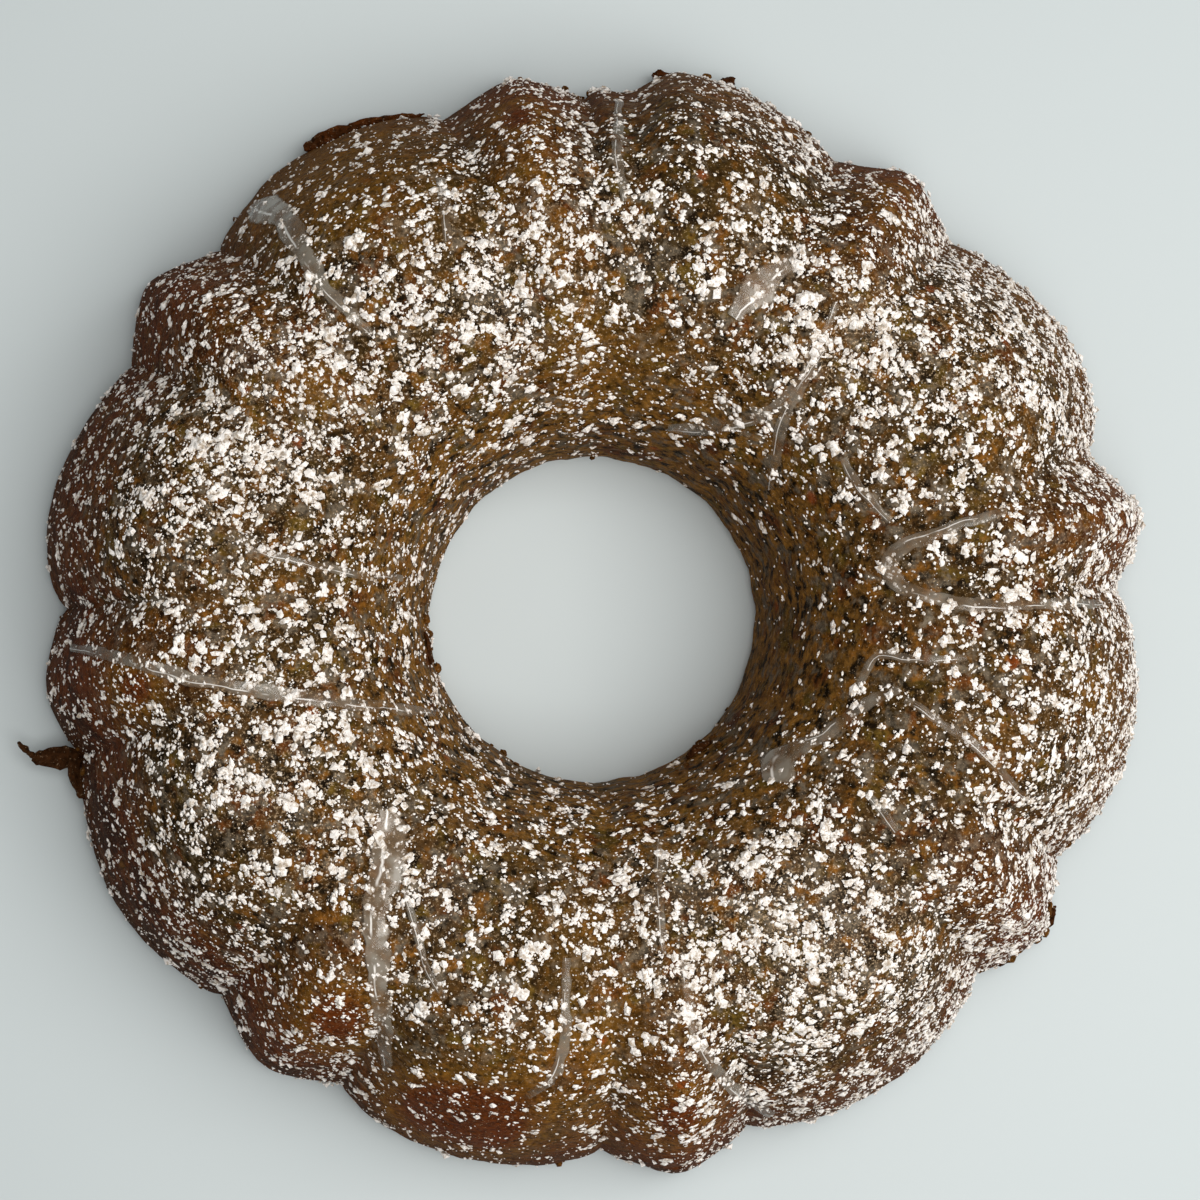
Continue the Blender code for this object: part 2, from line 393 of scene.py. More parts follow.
def make_cake(crust):
    section = bpy.data.objects.new("pan_section", pan_section())
    sizes = {"Section": section, "Slump Height": 1.8 * MM, "Slump Size": 26 * MM, "Lump Height": 1.0 * MM,
             "Lump Size": 9 * MM, "Crumb Height": 0.5 * MM, "Crumb Size": 3.2 * MM, "Pit Spacing": 7 * MM,
             "Pit Depth": 0.7 * MM, "Foot Tear": 2.4 * MM}
    kept = ("section_turn", "wall_browning", "ridge")
    cake = grown("cake_crust", pan_plan(), ring_tree(), sizes, crust, kept)
    bpy.data.objects.remove(section)
    fit_to_box(cake.data, *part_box("cake"))
    return cake


# ---- Materials ----

def new_material(name):
    material = bpy.data.materials.new(name)
    material.use_nodes = True
    material.node_tree.nodes.clear()
    return material, material.node_tree


# The size of the crust's patches in millimetres, the noise's detail, its values where a patch begins and
# where it is full, and the patch's colour.
CRUST_PATCHES = (
    (7, 2.0, 0.54, 0.66, "#5a451a"), (4.6, 2.0, 0.53, 0.65, "#70481a"), (8.3, 2.0, 0.57, 0.68, "#5c3416"),
    # The fourth entry, the dark patches, is partly uneven baking and partly painted shade between sugar
    # flecks.
    (3, 3.0, 0.5, 0.63, "#1f160b"), (3.8, 3.0, 0.52, 0.65, "#655949"),
)


def baked_crust():
    """Cake crust browned against a greased pan.

    It is golden to olive brown, and red brown where it baked hardest, with fine open pores, a crumbly grain
    and a dull, slightly greasy sheen.
    """
    material, tree = new_material("baked_cake_crust")
    place = add(tree, "ShaderNodeTexCoord").outputs["Object"]

    def patches(size, detail, low, high):
        """0 below the low and 1 above the high value of a noise with patches of that size."""
        cloud = add(tree, NOISE, place, 1 / size, detail, 0.6)
        return add(tree, MAP_RANGE, cloud, low, high)

    def tinted(colour, share, hex_colour):
        """A colour with a share of another laid over it."""
        return add(tree, "ShaderNodeMix", share, colour, linear(hex_colour), data_type="RGBA").outputs[2]

    turn = add(tree, "ShaderNodeAttribute", attribute_name="section_turn").outputs["Fac"]
    colour = tinted(linear("#3a2a12"), patches(24 * MM, 2.0, 0.4, 0.6), "#4e3519")
    # Against the pan's tube the crust stayed paler. The tint is also painted light, lifting the shade that
    # falls inside the hole.
    tube_paler_and_lit = add(tree, MAP_RANGE, turn, 0.6, 0.8, 0.0, 0.85)
    colour = tinted(colour, tube_paler_and_lit, "#8a6028")
    # Where sugar melted into it the crust is greyer.
    toasting = add(tree, "ShaderNodeAttribute", attribute_name="toasting").outputs["Fac"]
    speckle = add(tree, MAP_RANGE, patches(3 * MM, 2.0, 0.4, 0.58), 0.0, 1.0, 0.35, 0.85)
    greyed = add(tree, MAP_RANGE, toasting, -1.0, 0.0, 0.9, 0.0)
    greyed = add(tree, MATH, greyed, speckle, operation="MULTIPLY")
    colour = tinted(colour, greyed, "#544c42")
    # Uneven baking, in patches of several sizes: olive, orange brown, red brown, dark and greyish.
    # The dark patches are partly painted shade, standing in for the shadows between the sugar flecks.
    for size, detail, low, high, hex_colour in CRUST_PATCHES:
        colour = tinted(colour, patches(size * MM, detail, low, high), hex_colour)
    # Browning: the outer wall and its ridges baked against the hot metal.
    ridge = add(tree, "ShaderNodeAttribute", attribute_name="ridge").outputs["Fac"]
    crest = add(tree, MAP_RANGE, turn, 0.2, 0.5, 0.7, 0.0)
    crest = add(tree, MATH, crest, ridge, operation="MULTIPLY", use_clamp=True)
    colour = tinted(colour, crest, "#6b340e")
    wall = add(tree, MAP_RANGE, turn, 0.03, 0.3, 1.0, 0.0, interpolation_type="SMOOTHSTEP")
    local = add(tree, "ShaderNodeAttribute", attribute_name="wall_browning").outputs["Fac"]
    pale = add(tree, MAP_RANGE, local, 0.12, 0.5, 0.55, 0.0)
    pale = add(tree, MATH, wall, pale, operation="MULTIPLY")
    colour = tinted(colour, pale, "#7c511e")
    wall = add(tree, MATH, wall, local, operation="MULTIPLY")
    blotch = add(tree, NOISE, place, 1 / (9 * MM), 4.0, 0.65)
    blotch = add(tree, MAP_RANGE, blotch, 0.36, 0.62, 0.3, 1.6)
    brown = add(tree, MATH, wall, blotch, operation="MULTIPLY", use_clamp=True)
    colour = tinted(colour, brown, "#76340b")
    darkest = add(tree, MATH, brown, 2.0, operation="POWER")
    colour = tinted(colour, darkest, "#3b1d0d")
    # Thin flakes that stand off the wall are almost charred.
    charred = add(tree, MAP_RANGE, local, 1.2, 2.0)
    colour = tinted(colour, charred, "#2b1c13")
    # Patches that toasted golden orange. Up the ridge near 99 degrees they are partly painted light, on that
    # ridge's lit flank.
    golden_and_lit = add(tree, MAP_RANGE, toasting, 0.0, 1.0)
    golden_and_lit = add(tree, MATH, golden_and_lit, speckle, operation="MULTIPLY")
    colour = tinted(colour, golden_and_lit, "#7d541c")
    # The foot lay deepest in the pan's rim and baked darker.
    foot = add(tree, MAP_RANGE, turn, 0.0, 0.11, 0.5, 0.0)
    colour = tinted(colour, foot, "#46280f")
    # The strongest ones are dark red brown in the middle.
    scorched = add(tree, MAP_RANGE, toasting, 1.0, 2.0, 0.0, 0.85)
    colour = tinted(colour, scorched, "#5e280b")
    # Bits of carrot and peel near the surface.
    bits = add(tree, "ShaderNodeTexVoronoi", place, 1 / (11 * MM))
    bit = add(tree, MAP_RANGE, bits, 0.08, 0.16, 0.8, 0.0)
    rare = add(tree, MATH, bits.outputs["Color"], 0.3, operation="LESS_THAN")
    bit = add(tree, MATH, bit, rare, operation="MULTIPLY")
    colour = tinted(colour, bit, "#7d3c14")
    # Grain: the crumb's own lights and darks.
    grain = add(tree, NOISE, place, 1 / (1.4 * MM), 4.0, 0.7)
    grain = add(tree, MAP_RANGE, grain, 0.34, 0.66, 0.42, 1.6)
    colour = add(tree, VECTOR_MATH, colour, inputs={"Scale": grain}, operation="SCALE")
    # Pores: small open bubbles, with painted shade inside them. The tube's wall closed most of those in the
    # hole.
    pores = add(tree, "ShaderNodeTexVoronoi", place, 1 / (1.7 * MM))
    pore_shade = add(tree, MAP_RANGE, pores, 0.08, 0.3, 0.75, 0.0)
    few = add(tree, MATH, pores.outputs["Color"], 0.5, operation="LESS_THAN")
    pore_shade = add(tree, MATH, pore_shade, few, operation="MULTIPLY")
    closed = add(tree, MAP_RANGE, turn, 0.62, 0.78, 1.0, 0.3)
    pore_shade = add(tree, MATH, pore_shade, closed, operation="MULTIPLY")
    colour = tinted(colour, pore_shade, "#150d06")
    # The finest sugar: grains too small to stand out, which only pale the crust between the flecks.
    film = add(tree, NOISE, place, 1 / (0.6 * MM), 2.0, 0.8)
    dusting = add(tree, "ShaderNodeAttribute", attribute_name="dusting").outputs["Fac"]
    film = add(tree, MATH, dusting, 0.05, film, operation="MULTIPLY_ADD")
    film = add(tree, MAP_RANGE, film, 0.63, 0.75, 0.0, 0.65)
    colour = tinted(colour, film, "#cdb08c")
    relief = add(tree, MATH, pore_shade, -0.5, grain, operation="MULTIPLY_ADD")
    bump = add(tree, "ShaderNodeBump", inputs={"Strength": 0.6, "Distance": 0.25 * MM, "Height": relief})
    shader = add(tree, "ShaderNodeBsdfPrincipled", inputs={
        "Base Color": colour, "Roughness": 0.6, "IOR": 1.45, "Specular IOR Level": 0.02, "Normal": bump})
    add(tree, "ShaderNodeOutputMaterial", shader)
    return material


def icing_sugar():
    """Sifted icing sugar: a soft dry powder of starch and fine crystals, matt and almost white."""
    material, tree = new_material("sifted_icing_sugar")
    place = add(tree, "ShaderNodeTexCoord").outputs["Object"]
    # Where it drew up moisture from the crust it is thinner and duller. The dull colour is also painted
    # shade, for flecks that lie in shadow.
    damp_and_shade_noise = add(tree, NOISE, place, 1 / (1.3 * MM), 4.0, 0.75)
    dry_and_unshaded = add(tree, MAP_RANGE, damp_and_shade_noise, 0.39, 0.52)
    powder = add(tree, NOISE, place, 1 / (0.6 * MM), 2.0, 0.7)
    colour = add(tree, "ShaderNodeMix", dry_and_unshaded, linear("#b8a690"), linear("#fff8f0"), data_type="RGBA")
    bump = add(tree, "ShaderNodeBump", inputs={"Strength": 0.8, "Distance": 0.3 * MM, "Height": powder})
    shader = add(tree, "ShaderNodeBsdfPrincipled",
                 inputs={"Base Color": colour, "Roughness": 0.9, "Normal": bump})
    add(tree, "ShaderNodeOutputMaterial", shader)
    return material


def sugar_glaze():
    """Thin sugar glaze dried on the crust: milky, half see-through, with a smooth skin that glints."""
    material, tree = new_material("dried_sugar_glaze")
    place = add(tree, "ShaderNodeTexCoord").outputs["Object"]
    pools = add(tree, NOISE, place, 1 / (7 * MM), 2.0, 0.6)
    shade = add(tree, MAP_RANGE, pools, 0.38, 0.6)
    colour = add(tree, "ShaderNodeMix", shade, linear("#94795c"), linear("#a69c8c"), data_type="RGBA")
    # It thins out to nothing at its edges.
    across = add(tree, "ShaderNodeAttribute", attribute_name="across").outputs["Fac"]
    edge = add(tree, MATH, across, operation="ABSOLUTE")
    edge = add(tree, MAP_RANGE, edge, 0.4, 0.5, 1.0, 0.5)
    cover = add(tree, MAP_RANGE, shade, 0.0, 1.0, 0.24, 0.46)
    cover = add(tree, MATH, cover, edge, operation="MULTIPLY")
    # It is thicker where a run is broad.
    width = add(tree, "ShaderNodeAttribute", attribute_name="width").outputs["Fac"]
    thicker = add(tree, MAP_RANGE, width, 2 * MM, 6 * MM, 0.8, 1.6)
    cover = add(tree, MATH, cover, thicker, operation="MULTIPLY")
    # Fine pale lines: painted glints, where the glaze's smooth skin catches the light along each run.
    painted_glint = add(tree, MATH, across, 0.14, operation="SUBTRACT")
    painted_glint = add(tree, MATH, painted_glint, operation="ABSOLUTE")
    painted_glint = add(tree, MAP_RANGE, painted_glint, 0.015, 0.06, 1.0, 0.0)
    breaks = add(tree, NOISE, place, 1 / (6 * MM), 1.0, 0.5)
    breaks = add(tree, MAP_RANGE, breaks, 0.46, 0.54)
    painted_glint = add(tree, MATH, painted_glint, breaks, operation="MULTIPLY")
    colour = add(tree, "ShaderNodeMix", painted_glint, colour, linear("#f6efe6"), data_type="RGBA")
    cover = add(tree, MATH, painted_glint, 0.45, cover, operation="MULTIPLY_ADD")
    ripples = add(tree, NOISE, place, 1 / (3 * MM), 1.0, 0.5)
    bump = add(tree, "ShaderNodeBump", inputs={"Strength": 0.2, "Distance": 0.15 * MM, "Height": ripples})
    shader = add(tree, "ShaderNodeBsdfPrincipled", inputs={
        "Base Color": colour, "Roughness": 0.14, "IOR": 1.49, "Alpha": cover, "Normal": bump})
    add(tree, "ShaderNodeOutputMaterial", shader)
    return material


# ---- Icing sugar ----

SUGAR_LEAN = 21  # degrees from straight down at which the sugar fell, from the +X side
STRAY_SUGAR = 0.2  # the share that drifts onto surfaces turned away from it
SUGAR_EVENNESS = 0.8  # below 1 the surfaces half turned away get more of it
# How far the upward part of a surface's normal may fall below 0 before no sugar stays, and over how much of
# it the sugar goes from none to all.
SLIDE_LIMIT = 0.1
HOLD_SPAN = 0.45
# Where the sugar fell thicker or thinner: x, y and reach in millimetres, and what is added at the middle.
SUGAR_DRIFTS = (
    (47, 55, 16, 0.9), (80, 53, 18, 0.7), (-26, 68, 24, 0.6), (-70, -30, 22, 0.7), (43, -71, 24, 0.8),
    (31, 66, 12, 0.3), (-46, -50, 10, 0.3), (58, 2, 24, -0.35), (-45, 5, 20, -0.2), (-5, -85, 18, -0.3),
    (-74, 36, 26, 0.8), (8, -58, 16, 0.4), (-108, 10, 16, 0.5), (-96, -58, 16, 0.5), (-60, -90, 18, 0.4),
    (58, 97, 14, -0.45), (8, 112, 22, -0.5), (-38, 106, 22, -0.6), (-50, -98, 16, -0.55),
    (-22, -112, 16, -0.7), (2, -113, 14, -0.5), (22, -112, 12, -0.4), (90, -74, 16, 0.35),
    (108, -35, 18, 0.2), (112, 22, 24, 0.15), (76, 86, 12, -0.2), (62, -38, 20, -0.2), (0, 86, 26, 0.15),
    (20, -78, 26, 0.15), (-58, 95, 12, -0.5), (2, 109, 12, -0.25), (-84, 85, 9, -0.8),
    (-78, 68, 14, 0.35), (-104, -16, 16, 0.35), (-80, -68, 16, 0.3), (74, -68, 16, 0.25),
    (14, -98, 14, 0.3), (-28, 94, 12, 0.25), (36, -12, 12, -0.5), (-40, -20, 14, -0.2), (28, 64, 6, -0.6),
    (0, 0, 42, -0.45), (98, 8, 18, 0.2), (-96, 42, 16, 0.3), (70, 78, 12, 0.2), (96, -34, 14, 0.2),
    (34, -100, 12, 0.25), (-60, -88, 7, -0.5), (29, -59, 9, 0.8), (44, -76, 8, 0.4), (44, -88, 7, 0.4),
    (67, 67, 8, 0.5), (-36, 55, 9, 0.4), (20, -87, 8, -0.4), (20, 83, 9, -0.4), (60, -64, 8, 0.4),
    (-25, -86, 8, 0.35), (95, -1, 9, 0.25), (92, -27, 8, 0.25), (82, 47, 7, 0.25), (-62, -37, 12, 0.3),
    (-103, 26, 8, 0.35), (26, 100, 8, 0.4), (57, 101, 7, -0.5), (56, -99, 6, -0.5),
)
# Where the crust differs from the rest: x, y and reach in millimetres, and how it baked at the middle. At 1
# it is golden orange, at 2 dark red brown, and at -1 greyed by sugar that melted into it.
# The golden row from (-16, 90) to (-2, 51), up the ridge near 99 degrees, is partly painted light on that
# ridge's lit flank.
BAKED_SPOTS = (
    (-55, 89, 20, 0.9), (-59, 44, 5, 1.1), (-19, 103, 5, 2.2), (-16, 90, 6, 0.6), (-12, 74, 6, 0.6),
    (-8, 58, 8, 0.5), (-2, 51, 12, 0.3), (7, 53, 8, 0.2), (-97, -16, 5, 2.4), (-56, -83, 8, 2.5),
    (-38, -103, 9, 2.2), (-25, -106, 10, 2.8), (-7, -66, 9, 0.5), (-9, -95, 10, 1.1), (-2, -109, 7, 0.6),
    (-3, -86, 10, 0.5), (14, -104, 7, 2.5), (-42, 8, 8, 0.3), (-69, 7, 8, 0.2), (79, -28, 7, 0.4),
    (101, -17, 7, 1), (61, 86, 5, 2), (53, 54, 6, -0.8), (42, -65, 15, -1), (-22, 62, 7, -0.8),
    (6, 69, 7, -0.7), (-77, -36, 10, -0.6), (-72, 52, 6, -0.9), (-96, 13, 8, -0.3), (80, 70, 9, -0.5),
    (-21, -35, 7, -0.6), (-53, 66, 8, -0.7), (-31, -56, 9, -0.6), (19, -57, 9, -0.8), (65, -49, 6, -0.7),
    (-4, 84, 6, -0.3), (28, 84, 8, 0.35), (83, 34, 8, 0.3),
)


def nearness(x, y, middle_x, middle_y, reach):
    """1 in the middle of a spot, falling away smoothly over its reach."""
    return np.exp(-(np.hypot(x - middle_x, y - middle_y) / reach) ** 2)


def store_toasting(mesh):
    """Puts on each point how the crust baked there, from the baked spots."""
    x, y, _ = points_of(mesh).T / MM
    toasting = np.zeros(len(x))
    for spot_x, spot_y, reach, amount in BAKED_SPOTS:
        toasting += amount * nearness(x, y, spot_x, spot_y, reach)
    store(mesh, "toasting", np.clip(toasting, -1, 2).astype(np.float32))


def store_dusting(mesh):
    """Puts on each point how much sifted sugar lies there. It leans in and slides off steep walls."""
    x, y, _ = points_of(mesh).T
    count = len(x)
    normals = np.empty(count * 3, np.float32)
    mesh.vertex_normals.foreach_get("vector", normals)
    normals = normals.reshape(-1, 3)
    lean = math.radians(SUGAR_LEAN)
    falling = np.clip(normals @ np.array((math.sin(lean), 0, math.cos(lean))), 0, 1)
    falling = falling ** SUGAR_EVENNESS + STRAY_SUGAR * (1 - falling)
    held = ease(np.clip((normals[:, 2] + SLIDE_LIMIT) / HOLD_SPAN, 0, 1))
    drift = np.ones(count)
    for middle_x, middle_y, reach, extra in SUGAR_DRIFTS:
        drift += extra * nearness(x, y, middle_x * MM, middle_y * MM, reach * MM)
    store(mesh, "dusting", np.maximum(0, falling * held * drift).astype(np.float32))


FLECK_SHAPES = 10  # how many ragged shapes there are to pick from
# What sets one kind of fleck apart, and then those sizes for each kind of sugar and for the crumbs. Density
# is the count on a square metre where the attribute is 1.
FLECK_SIZES = {
    "Density": float, "Bunching": float, "Smallest": float, "Largest": float, "Size Skew": float,
    "Flatness": float, "Lumps": int, "Lump Spread": float, "Smallest Lump": float, "Segments": int,
    "Rings": int, "Raggedness": float, "Seed": int,
}
SUGAR_KINDS = {
    "sugar_clumps": (174000.0, 0.96, 1.0 * MM, 2.6 * MM, 1.8, 0.58, 4, 0.42, 0.4, 5, 2, 0.35, 3),
    "sugar_flecks": (410000.0, 0.92, 0.62 * MM, 1.35 * MM, 1.3, 0.62, 2, 0.35, 0.6, 4, 2, 0.35, 5),
    "sugar_grains": (480000.0, 0.8, 0.32 * MM, 0.65 * MM, 1.2, 0.75, 1, 0.0, 1.0, 6, 2, 0.45, 7),
    "sugar_specks": (250000.0, 0.5, 0.24 * MM, 0.42 * MM, 1.2, 0.8, 1, 0.0, 1.0, 4, 2, 0.3, 9),
}
CRUMB_SIZES = (130000.0, 0.9, 0.6 * MM, 2.4 * MM, 1.6, 0.75, 1, 0.0, 1.0, 10, 5, 0.35, 13)


def scatter_tree():
    """Scatters ragged flecks over a surface, denser where the named attribute is high, and in bunches."""
    tree, sizes = new_tree("scattered_flecks", {"Attribute": str, "Bunch Size": float, **FLECK_SIZES,
                                                "Material": bpy.types.Material})
    amount = add(tree, "GeometryNodeInputNamedAttribute", sizes["Attribute"], data_type="FLOAT")
    density = add(tree, MATH, amount, sizes["Density"], operation="MULTIPLY")
    scattered = add(tree, "GeometryNodeDistributePointsOnFaces", sizes["Geometry"], None, density,
                    sizes["Seed"])
    normal = scattered.outputs["Normal"]
    # Bunching: a fleck is dropped where a fine noise is low. Each random value below has its own fixed seed.
    place = add(tree, "GeometryNodeInputPosition")
    scale = add(tree, MATH, 1.0, sizes["Bunch Size"], operation="DIVIDE")
    bunches = add(tree, NOISE, place, scale, 3.0, 0.65)
    limit = add(tree, MAP_RANGE, bunches, 0.43, 0.58, sizes["Bunching"], 0.0)
    chance = add(tree, "FunctionNodeRandomValue", 0.0, 1.0, None, 11, data_type="FLOAT")
    bare = add(tree, "FunctionNodeCompare", chance, limit, data_type="FLOAT", operation="LESS_THAN")
    kept = add(tree, "GeometryNodeDeleteGeometry", scattered, bare, domain="POINT")
    # The ragged shapes to pick from. Each is a few lumps caked together.
    ball = add(tree, "GeometryNodeMeshUVSphere", sizes["Segments"], sizes["Rings"], 0.5)
    back = add(tree, MATH, sizes["Lump Spread"], -1.0, operation="MULTIPLY")
    least = add(tree, MATH, 1.0, sizes["Raggedness"], operation="SUBTRACT")
    most = add(tree, MATH, sizes["Raggedness"], 0.6, 1.0, operation="MULTIPLY_ADD")
    shapes = add(tree, "GeometryNodeJoinGeometry")
    for number in range(FLECK_SHAPES):
        reach = add(tree, "FunctionNodeRandomValue", least, most, None, number, data_type="FLOAT")
        ragged = add(tree, VECTOR_MATH, place, inputs={"Scale": reach}, operation="SCALE")
        spread = add(tree, "FunctionNodeRandomValue", back, sizes["Lump Spread"], None, 100 + number,
                     data_type="FLOAT_VECTOR")
        middles = add(tree, "GeometryNodePoints", sizes["Lumps"], spread)
        lump_size = add(tree, "FunctionNodeRandomValue", sizes["Smallest Lump"], 1.0, None, 200 + number,
                        data_type="FLOAT")
        caked = add(tree, "GeometryNodeInstanceOnPoints", middles, None, ball, inputs={"Scale": lump_size})
        caked = add(tree, "GeometryNodeRealizeInstances", caked)
        lump = add(tree, "GeometryNodeSetPosition", caked, None, ragged)
        shape = add(tree, "GeometryNodeGeometryToInstance", lump)
        tree.links.new(shape.outputs[0], shapes.inputs[0])
    share = add(tree, "FunctionNodeRandomValue", 0.0, 1.0, None, 23, data_type="FLOAT")
    share = add(tree, MATH, share, sizes["Size Skew"], operation="POWER")
    ratio = add(tree, MATH, sizes["Largest"], sizes["Smallest"], operation="DIVIDE")
    growth = add(tree, MATH, ratio, share, operation="POWER")
    size = add(tree, MATH, sizes["Smallest"], growth, operation="MULTIPLY")
    stretch = add(tree, "FunctionNodeRandomValue", (0.7, 0.7, 0.75), (1.35, 1.35, 1.2), None, 37,
                  data_type="FLOAT_VECTOR")
    flat = add(tree, "ShaderNodeCombineXYZ", 1.0, 1.0, sizes["Flatness"])
    stretch = add(tree, VECTOR_MATH, stretch, flat, operation="MULTIPLY")
    scale = add(tree, VECTOR_MATH, stretch, inputs={"Scale": size}, operation="SCALE")
    stood = add(tree, "FunctionNodeAlignRotationToVector", None, None, normal, axis="Z")
    spin = add(tree, "FunctionNodeRandomValue", 0.0, math.tau, None, 41, data_type="FLOAT")
    spin = add(tree, "FunctionNodeAxisAngleToRotation", (0.0, 0.0, 1.0), spin)
    turned = add(tree, "FunctionNodeRotateRotation", stood, spin, rotation_space="LOCAL")
    pick = add(tree, "FunctionNodeRandomValue", 0, FLECK_SHAPES - 1, None, 53, data_type="INT")
    # Each fleck sits a little proud of the crust.
    proud = add(tree, MATH, size, sizes["Flatness"], operation="MULTIPLY")
    proud = add(tree, MATH, proud, 0.2, operation="MULTIPLY")
    lift = add(tree, VECTOR_MATH, normal, inputs={"Scale": proud}, operation="SCALE")
    raised = add(tree, "GeometryNodeSetPosition", kept, None, None, lift)
    laid = add(tree, "GeometryNodeInstanceOnPoints", raised, None, shapes, True, pick, turned, scale)
    return end_tree(tree, laid, sizes["Material"])


def dusted_surface(pieces):
    """One mesh of everything that the sugar fell on."""
    both = bmesh.new()
    for piece in pieces:
        both.from_mesh(piece.data)
    mesh = bpy.data.meshes.new("dusted_surface")
    both.to_mesh(mesh)
    both.free()
    store_dusting(mesh)
    return mesh


def make_sugar(surface, tree, sugar):
    """One piece for each kind of sugar."""
    common = {"Attribute": "dusting", "Bunch Size": 5 * MM}
    return [grown(name, surface, tree, {**common, **dict(zip(FLECK_SIZES, sizes))}, sugar)
            for name, sizes in SUGAR_KINDS.items()]


# ---- Crumbs and torn flakes ----

# Where crumbs cling: x, y and reach in millimetres, lowest and highest, and how many of them there are.
CRUMB_SPOTS = (
    (28, 117, 4, 2.2, 12, 1.6), (22, 118, 4, 2.2, 12, 2.0), (-2, 117, 4, 2.2, 12, 1.6),
    (47, 110, 5, 2.2, 12, 0.7), (110, 53, 5, 2.2, 12, 0.7), (98, -68, 10, 2.2, 14, 0.8),
    (-114, -33, 6, 2.2, 14, 1.0), (-55, 108, 8, 2.2, 12, 0.6), (-20, 116, 5, 2.2, 12, 0.5),
    (22, -28, 5, 5, 60, 0.9), (-21, -28, 4, 5, 60, 0.6), (-37, -5, 6, 5, 60, 0.5),
    (0, 0, 300, 2.2, 5, 0.12), (0, 0, 300, 20, 90, 0.006),
)

# The torn flakes on the outer wall and in the hole: bearing, height and how far the middle stands off the
# crust, then length, width and thickness, in millimetres, then the heading of the length and the tilts along
# and across it, and last how dark it baked.
OUTER_FLAKES = (
    (194.6, 7, 4.6, 13.0, 4.6, 1.4, 2, 4, 12, 1.9),
    (193.0, 7.5, 9.6, 5.0, 1.6, 1.0, -45, 0, 0, 2.0),
    (196.7, 9, 1.2, 11.0, 3.4, 1.6, -79, 6, 20, 1.9),
    (119.0, 8, 0.4, 14.0, 4.4, 2.2, 20, 3, 14, 0.9),
    (113.0, 7, 0.0, 17.0, 2.2, 2.0, 8, 0, 8, 0.8),
    (76.6, 5, 0.2, 4.6, 2.8, 2.0, 40, 5, 0, 1.2),
    (83.2, 4, 0.2, 5.0, 2.4, 2.0, -12, 0, 6, 1.2),
    (326.7, 4, 0.2, 5.5, 2.6, 2.0, 65, 0, 5, 1.3),
    (320.2, 4, 0.2, 4.4, 2.4, 2.0, 40, 0, 5, 1.3),
)
HOLE_FLAKES = (
    (306.0, 22, 0.2, 6.0, 2.6, 3.0, 36, 0, 0, 1.4),
    (190.1, 26, 0.1, 7.5, 1.6, 5.0, 100, 0, 0, 1.4),
)


def store_crumbling(mesh):
    """Puts on each point how many crumbs cling there."""
    x, y, z = points_of(mesh).T / MM
    crumbling = np.zeros(len(x))
    for spot_x, spot_y, reach, low, high, amount in CRUMB_SPOTS:
        near = nearness(x, y, spot_x, spot_y, reach)
        crumbling = np.maximum(crumbling, amount * near * ((z > low) & (z < high)))
    store(mesh, "crumbling", crumbling.astype(np.float32))


def make_crumbs(cake, tree, crust):
    sizes = {"Attribute": "crumbling", "Bunch Size": 4 * MM, **dict(zip(FLECK_SIZES, CRUMB_SIZES))}
    return grown("crust_crumbs", cake.data, tree, sizes, crust)


def flake_points(cake):
    """A mesh of loose points, one for each flake, with its sizes and turns on it."""
    places, lengths, turns, brownings = [], [], [], []
    for flakes, side in ((OUTER_FLAKES, 1), (HOLE_FLAKES, -1)):
        for bearing, height, off, length, width, thickness, heading, along, across, browning in flakes:
            turned = math.radians(bearing)
            outward = Vector((math.cos(turned), math.sin(turned), 0)) * side
            start = Vector((0, 0, height * MM)) + max(side, 0) * outward
            _, wall, _, _ = cake.ray_cast(start, -outward)
            places.append(wall + outward * off * MM)
            lengths += [length * MM, width * MM, thickness * MM]
            turns += [math.radians(across), math.radians(-along), math.radians(heading)]
            brownings.append(browning)
    mesh = bpy.data.meshes.new("flake_points")
    mesh.from_pydata(places, [], [])
    mesh.attributes.new("size", "FLOAT_VECTOR", "POINT").data.foreach_set("vector", lengths)
    mesh.attributes.new("turn", "FLOAT_VECTOR", "POINT").data.foreach_set("vector", turns)
    store(mesh, "wall_browning", brownings)
    return mesh


def flake_tree():
    """Puts a thin rounded plate on each point and tears its outline and faces."""
    tree, sizes = new_tree("torn_flakes", {"Tear": float, "Tear Size": float,
                                           "Material": bpy.types.Material})
    size = add(tree, "GeometryNodeInputNamedAttribute", "size", data_type="FLOAT_VECTOR")
    turn = add(tree, "GeometryNodeInputNamedAttribute", "turn", data_type="FLOAT_VECTOR")
    rotation = add(tree, "FunctionNodeEulerToRotation", turn)
    plate = add(tree, "GeometryNodeMeshUVSphere", 32, 10, 0.5)
    points = add(tree, "GeometryNodeMeshToPoints", sizes["Geometry"])
    laid = add(tree, "GeometryNodeInstanceOnPoints", points, None, plate,
               inputs={"Rotation": rotation, "Scale": size})
    real = add(tree, "GeometryNodeRealizeInstances", laid)
    place = add(tree, "GeometryNodeInputPosition")
    scale = add(tree, MATH, 1.0, sizes["Tear Size"], operation="DIVIDE")
    noise_colour = add(tree, NOISE, place, scale, 4.0, 0.65).outputs["Color"]
    shift = add(tree, VECTOR_MATH, noise_colour, (0.5, 0.5, 0.5), operation="SUBTRACT")
    shift = add(tree, VECTOR_MATH, shift, inputs={"Scale": sizes["Tear"]}, operation="SCALE")
    torn = add(tree, "GeometryNodeSetPosition", real, None, None, shift)
    return end_tree(tree, torn, sizes["Material"])


def make_flakes(cake, crust):
    sizes = {"Tear": 4.0 * MM, "Tear Size": 3.5 * MM}
    return grown("torn_flakes", flake_points(cake), flake_tree(), sizes, crust, ("wall_browning",))


# ---- Glaze ----

